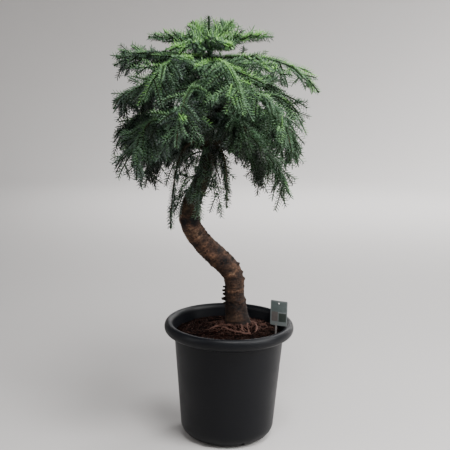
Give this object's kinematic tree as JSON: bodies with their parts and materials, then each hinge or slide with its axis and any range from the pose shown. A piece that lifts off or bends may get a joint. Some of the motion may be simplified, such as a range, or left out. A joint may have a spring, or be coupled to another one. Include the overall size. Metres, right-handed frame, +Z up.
{
  "type": "hoop pine bonsai",
  "caption": "Weeping conifer bonsai with an S-shaped trunk and a domed, hanging crown of fine needles, standing in a round dark nursery pot.",
  "frame": {"origin": "middle of the pot's flat underside, on the pot's axis", "axes": "+Z up along the pot's axis; +X to the side where the plant label stands; -Y to the front, from where the trunk's S shows"},
  "size_m": [0.59, 0.5382, 1.2413],
  "materials": {
    "pot_plastic": "satin",
    "soil_mix": "matte",
    "bark": "matte",
    "young_bark": "matte",
    "needles": "matte",
    "label_card": "satin"
  },
  "bodies": {
    "root": {"bough_lower_1": "young_bark", "bough_lower_2": "young_bark", "bough_lower_3": "young_bark", "bough_lower_4": "young_bark", "bough_lower_5": "young_bark", "bough_lower_6": "young_bark", "bough_middle_1": "young_bark", "bough_middle_2": "young_bark", "bough_middle_3": "young_bark", "bough_middle_4": "young_bark", "bough_middle_5": "young_bark", "bough_middle_6": "young_bark", "bough_skirt_1": "young_bark", "bough_skirt_2": "young_bark", "bough_skirt_3": "young_bark", "bough_skirt_4": "young_bark", "bough_skirt_5": "young_bark", "bough_skirt_6": "young_bark", "bough_upper_1": "young_bark", "bough_upper_2": "young_bark", "bough_upper_3": "young_bark", "bough_upper_4": "young_bark", "bough_upper_5": "young_bark", "bough_upper_6": "young_bark", "mass_crown_1": "needles", "mass_crown_2": "needles", "mass_crown_3": "needles", "mass_crown_4": "needles", "mass_crown_5": "needles", "mass_crown_6": "needles", "mass_lower_1": "needles", "mass_lower_2": "needles", "mass_lower_3": "needles", "mass_lower_4": "needles", "mass_lower_5": "needles", "mass_lower_6": "needles", "mass_middle_1": "needles", "mass_middle_2": "needles", "mass_middle_3": "needles", "mass_middle_4": "needles", "mass_middle_5": "needles", "mass_middle_6": "needles", "mass_skirt_1": "needles", "mass_skirt_2": "needles", "mass_skirt_3": "needles", "mass_skirt_4": "needles", "mass_skirt_5": "needles", "mass_skirt_6": "needles", "mass_upper_1": "needles", "mass_upper_2": "needles", "mass_upper_3": "needles", "mass_upper_4": "needles", "mass_upper_5": "needles", "mass_upper_6": "needles", "plant_label": "label_card", "pot": "pot_plastic", "soil": "soil_mix", "trunk": "bark"}
  },
  "joints": []
}
